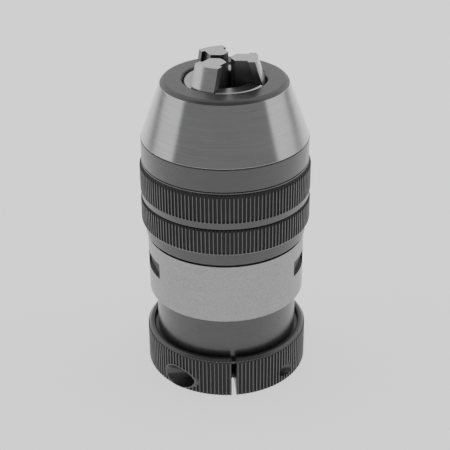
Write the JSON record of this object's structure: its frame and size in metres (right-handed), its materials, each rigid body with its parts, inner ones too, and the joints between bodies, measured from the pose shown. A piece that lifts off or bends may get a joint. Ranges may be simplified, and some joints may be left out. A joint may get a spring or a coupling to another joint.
{
  "type": "drill chuck",
  "caption": "Keyless precision drill chuck: a knurled hood and sleeve turn on a ground body and slide inclined jaws, over a tapered socket and a split clamp collar.",
  "frame": {"origin": "centre of the clamp collar's rear face, on the chuck's axis", "axes": "+Z along the chuck's axis towards the nose and jaws, -Y towards the collar's split, +X to the right"},
  "size_m": [0.043, 0.043, 0.0847],
  "materials": {
    "black_oxide": "black oxide on turned and knurled steel, satin",
    "ground_steel": "fine ground, satin",
    "bright_steel": "hardened and ground, bright",
    "seal_rubber": "matt black rubber"
  },
  "bodies": {
    "rear": {"rear_body": "ground_steel", "thread_cup": "ground_steel", "dust_seal": "seal_rubber", "collar_snap_ring": "ground_steel", "bearing_race_front": "bright_steel"},
    "hood": {"hood": "black_oxide", "sleeve": "black_oxide", "jaw_guide": "ground_steel", "bearing_race_rear": "bright_steel", "guide_pin_1": "bright_steel", "guide_pin_2": "bright_steel", "guide_pin_3": "bright_steel"},
    "bearing_cage": {"ball_cage": "ground_steel", "bearing_ball_1": "bright_steel", "bearing_ball_2": "bright_steel", "bearing_ball_3": "bright_steel", "bearing_ball_4": "bright_steel", "bearing_ball_5": "bright_steel", "bearing_ball_6": "bright_steel", "bearing_ball_7": "bright_steel", "bearing_ball_8": "bright_steel", "bearing_ball_9": "bright_steel", "bearing_ball_10": "bright_steel", "bearing_ball_11": "bright_steel", "bearing_ball_12": "bright_steel"},
    "spindle": {"spindle": "ground_steel"},
    "jaw_1": {"jaw_1": "bright_steel"},
    "jaw_2": {"jaw_2": "bright_steel"},
    "jaw_3": {"jaw_3": "bright_steel"},
    "collar": {"clamp_collar": "black_oxide"},
    "clamp_screw": {"clamp_screw": "black_oxide"}
  },
  "joints": [
    {"name": "hood_turn", "type": "hinge", "parent": "rear", "child": "hood", "pos_m": [0, 0, 0.056], "axis": [0, 0, 1], "range_deg": [-490, 1250]},
    {"name": "spindle_travel", "type": "slide", "parent": "hood", "child": "spindle", "axis": [0, 0, 1], "range_m": [-0.01043, 0.00409]},
    {"name": "jaw_1_slide", "type": "slide", "parent": "hood", "child": "jaw_1", "axis": [-0.2998, 0.0236, 0.9537], "range_m": [-0.01093, 0.00429]},
    {"name": "jaw_2_slide", "type": "slide", "parent": "hood", "child": "jaw_2", "axis": [0.1295, -0.2714, 0.9537], "range_m": [-0.01093, 0.00429]},
    {"name": "jaw_3_slide", "type": "slide", "parent": "hood", "child": "jaw_3", "axis": [0.1703, 0.2478, 0.9537], "range_m": [-0.01093, 0.00429]},
    {"name": "bearing_turn", "type": "hinge", "parent": "rear", "child": "bearing_cage", "pos_m": [0, 0, 0.0558], "axis": [0, 0, 1], "range_deg": [-245, 625]},
    {"name": "collar_turn", "type": "hinge", "parent": "rear", "child": "collar", "pos_m": [0, 0, 0.0055], "axis": [0, 0, 1], "continuous": true},
    {"name": "clamp_screw_turn", "type": "hinge", "parent": "collar", "child": "clamp_screw", "pos_m": [0.00137, -0.01539, 0.0032], "axis": [0.996, 0.0889, 0], "range_deg": [-360, 0]}
  ],
  "couplings": [
    {"joint": "spindle_travel", "follows": "hood_turn", "m_per_rad": -0.00047746},
    {"joint": "jaw_1_slide", "follows": "hood_turn", "m_per_rad": -0.00050064},
    {"joint": "jaw_2_slide", "follows": "hood_turn", "m_per_rad": -0.00050064},
    {"joint": "jaw_3_slide", "follows": "hood_turn", "m_per_rad": -0.00050064},
    {"joint": "bearing_turn", "follows": "hood_turn", "ratio": 0.5}
  ]
}
